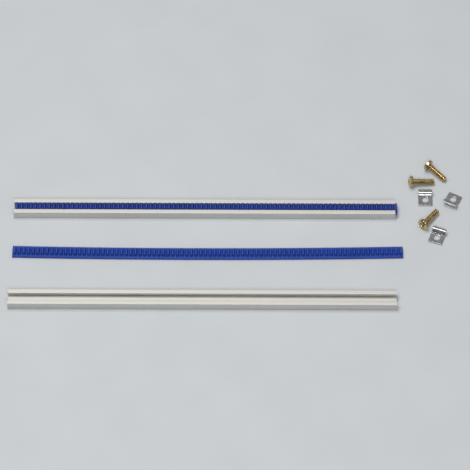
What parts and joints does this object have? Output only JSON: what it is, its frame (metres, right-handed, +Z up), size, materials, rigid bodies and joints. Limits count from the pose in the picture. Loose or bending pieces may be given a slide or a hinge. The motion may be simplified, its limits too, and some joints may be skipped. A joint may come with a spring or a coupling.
{
  "type": "gear rack",
  "caption": "Straight moulded gear rack that slides into an undercut aluminium carrier, laid out with a spare strip and carrier, step-bent clamp clips and cross-recess screws.",
  "frame": {"origin": "centre of the fitted carrier's underside", "axes": "+X along the rack, +Y across it towards the clamp groove's side, +Z up, the way the teeth point"},
  "size_m": [0.3071, 0.1207, 0.0078],
  "materials": {
    "extruded_aluminium": "satin as extruded",
    "blue_plastic": "satin moulded",
    "zinc_plated_steel": "bright zinc",
    "yellow_passivated_steel": "yellow passivated zinc"
  },
  "bodies": {
    "kit": {"fitted_carrier": "extruded_aluminium", "bare_carrier": "extruded_aluminium", "loose_strip": "blue_plastic", "clamp_clip_1": "zinc_plated_steel", "clamp_clip_2": "zinc_plated_steel", "clamp_clip_3": "zinc_plated_steel", "clamp_screw_1": "yellow_passivated_steel", "clamp_screw_2": "yellow_passivated_steel", "clamp_screw_3": "yellow_passivated_steel"},
    "rack": {"fitted_strip": "blue_plastic"}
  },
  "joints": [
    {"name": "rack_slide", "type": "slide", "parent": "kit", "child": "rack", "axis": [1, 0, 0], "range_m": [-0.25, 0.01]}
  ]
}
